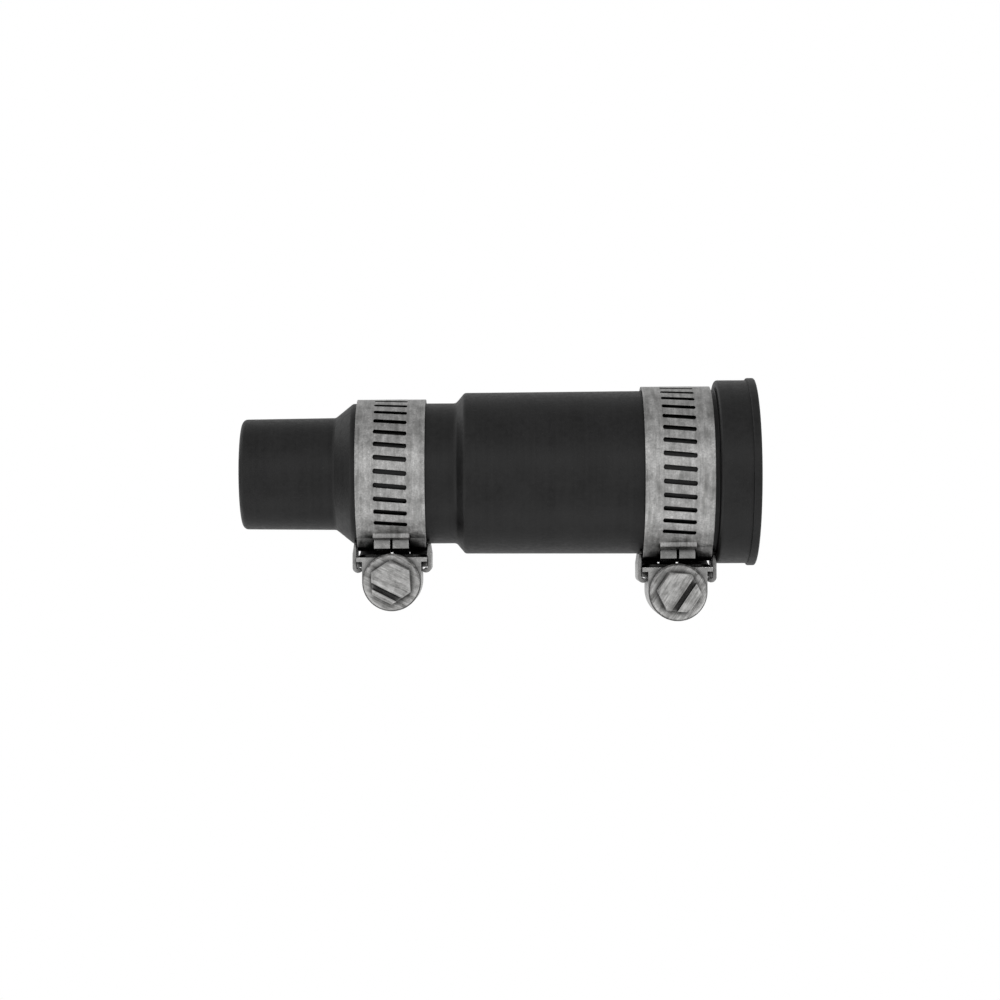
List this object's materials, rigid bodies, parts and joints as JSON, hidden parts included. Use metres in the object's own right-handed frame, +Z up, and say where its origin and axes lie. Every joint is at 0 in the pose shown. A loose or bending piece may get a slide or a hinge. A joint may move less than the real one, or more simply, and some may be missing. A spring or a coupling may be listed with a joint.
{
  "type": "reducing pipe coupling",
  "caption": "Flexible stepped rubber reducing coupling with worm-drive band clamps, joining a large pipe end to a smaller tube.",
  "frame": {"origin": "centre of the sleeve's large end face, on the bore's axis", "axes": "+X along the bore, out of the large mouth; the clamp screws hang towards -Z with their heads towards -Y; +Z up"},
  "size_m": [0.0953, 0.035, 0.0451],
  "materials": {
    "sleeve_rubber": "matte",
    "band_steel": "satin",
    "pressed_steel": "satin",
    "screw_steel": "satin"
  },
  "bodies": {
    "sleeve": {"sleeve": "sleeve_rubber"},
    "mid_clamp": {"mid_band": "band_steel", "mid_saddle": "pressed_steel", "mid_housing": "pressed_steel"},
    "mid_free_end": {"mid_band_free_end": "band_steel"},
    "mid_screw": {"mid_screw": "screw_steel"},
    "large_clamp": {"large_band": "band_steel", "large_saddle": "pressed_steel", "large_housing": "pressed_steel"},
    "large_free_end": {"large_band_free_end": "band_steel"},
    "large_screw": {"large_screw": "screw_steel"}
  },
  "joints": [
    {"name": "mid_clamp_turn", "type": "hinge", "parent": "sleeve", "child": "mid_clamp", "pos_m": [-0.0674, 0, 0], "axis": [1, 0, 0], "continuous": true},
    {"name": "mid_screw_turn", "type": "hinge", "parent": "mid_clamp", "child": "mid_screw", "pos_m": [-0.0674, 0, -0.01997], "axis": [0, 1, 0], "range_deg": [-360, 720]},
    {"name": "mid_free_end_travel", "type": "hinge", "parent": "mid_clamp", "child": "mid_free_end", "pos_m": [-0.0674, 0, 0.00235], "axis": [-1, 0, 0], "range_deg": [-8.1, 16.2]},
    {"name": "large_clamp_turn", "type": "hinge", "parent": "sleeve", "child": "large_clamp", "pos_m": [-0.01465, 0, 0], "axis": [1, 0, 0], "continuous": true},
    {"name": "large_screw_turn", "type": "hinge", "parent": "large_clamp", "child": "large_screw", "pos_m": [-0.01465, 0, -0.02211], "axis": [0, 1, 0], "range_deg": [-360, 720]},
    {"name": "large_free_end_travel", "type": "hinge", "parent": "large_clamp", "child": "large_free_end", "pos_m": [-0.01465, 0, 0.00022], "axis": [-1, 0, 0], "range_deg": [-8.1, 16.2]}
  ],
  "couplings": [
    {"joint": "mid_free_end_travel", "follows": "mid_screw_turn", "ratio": 0.022458},
    {"joint": "large_free_end_travel", "follows": "large_screw_turn", "ratio": 0.022458}
  ]
}
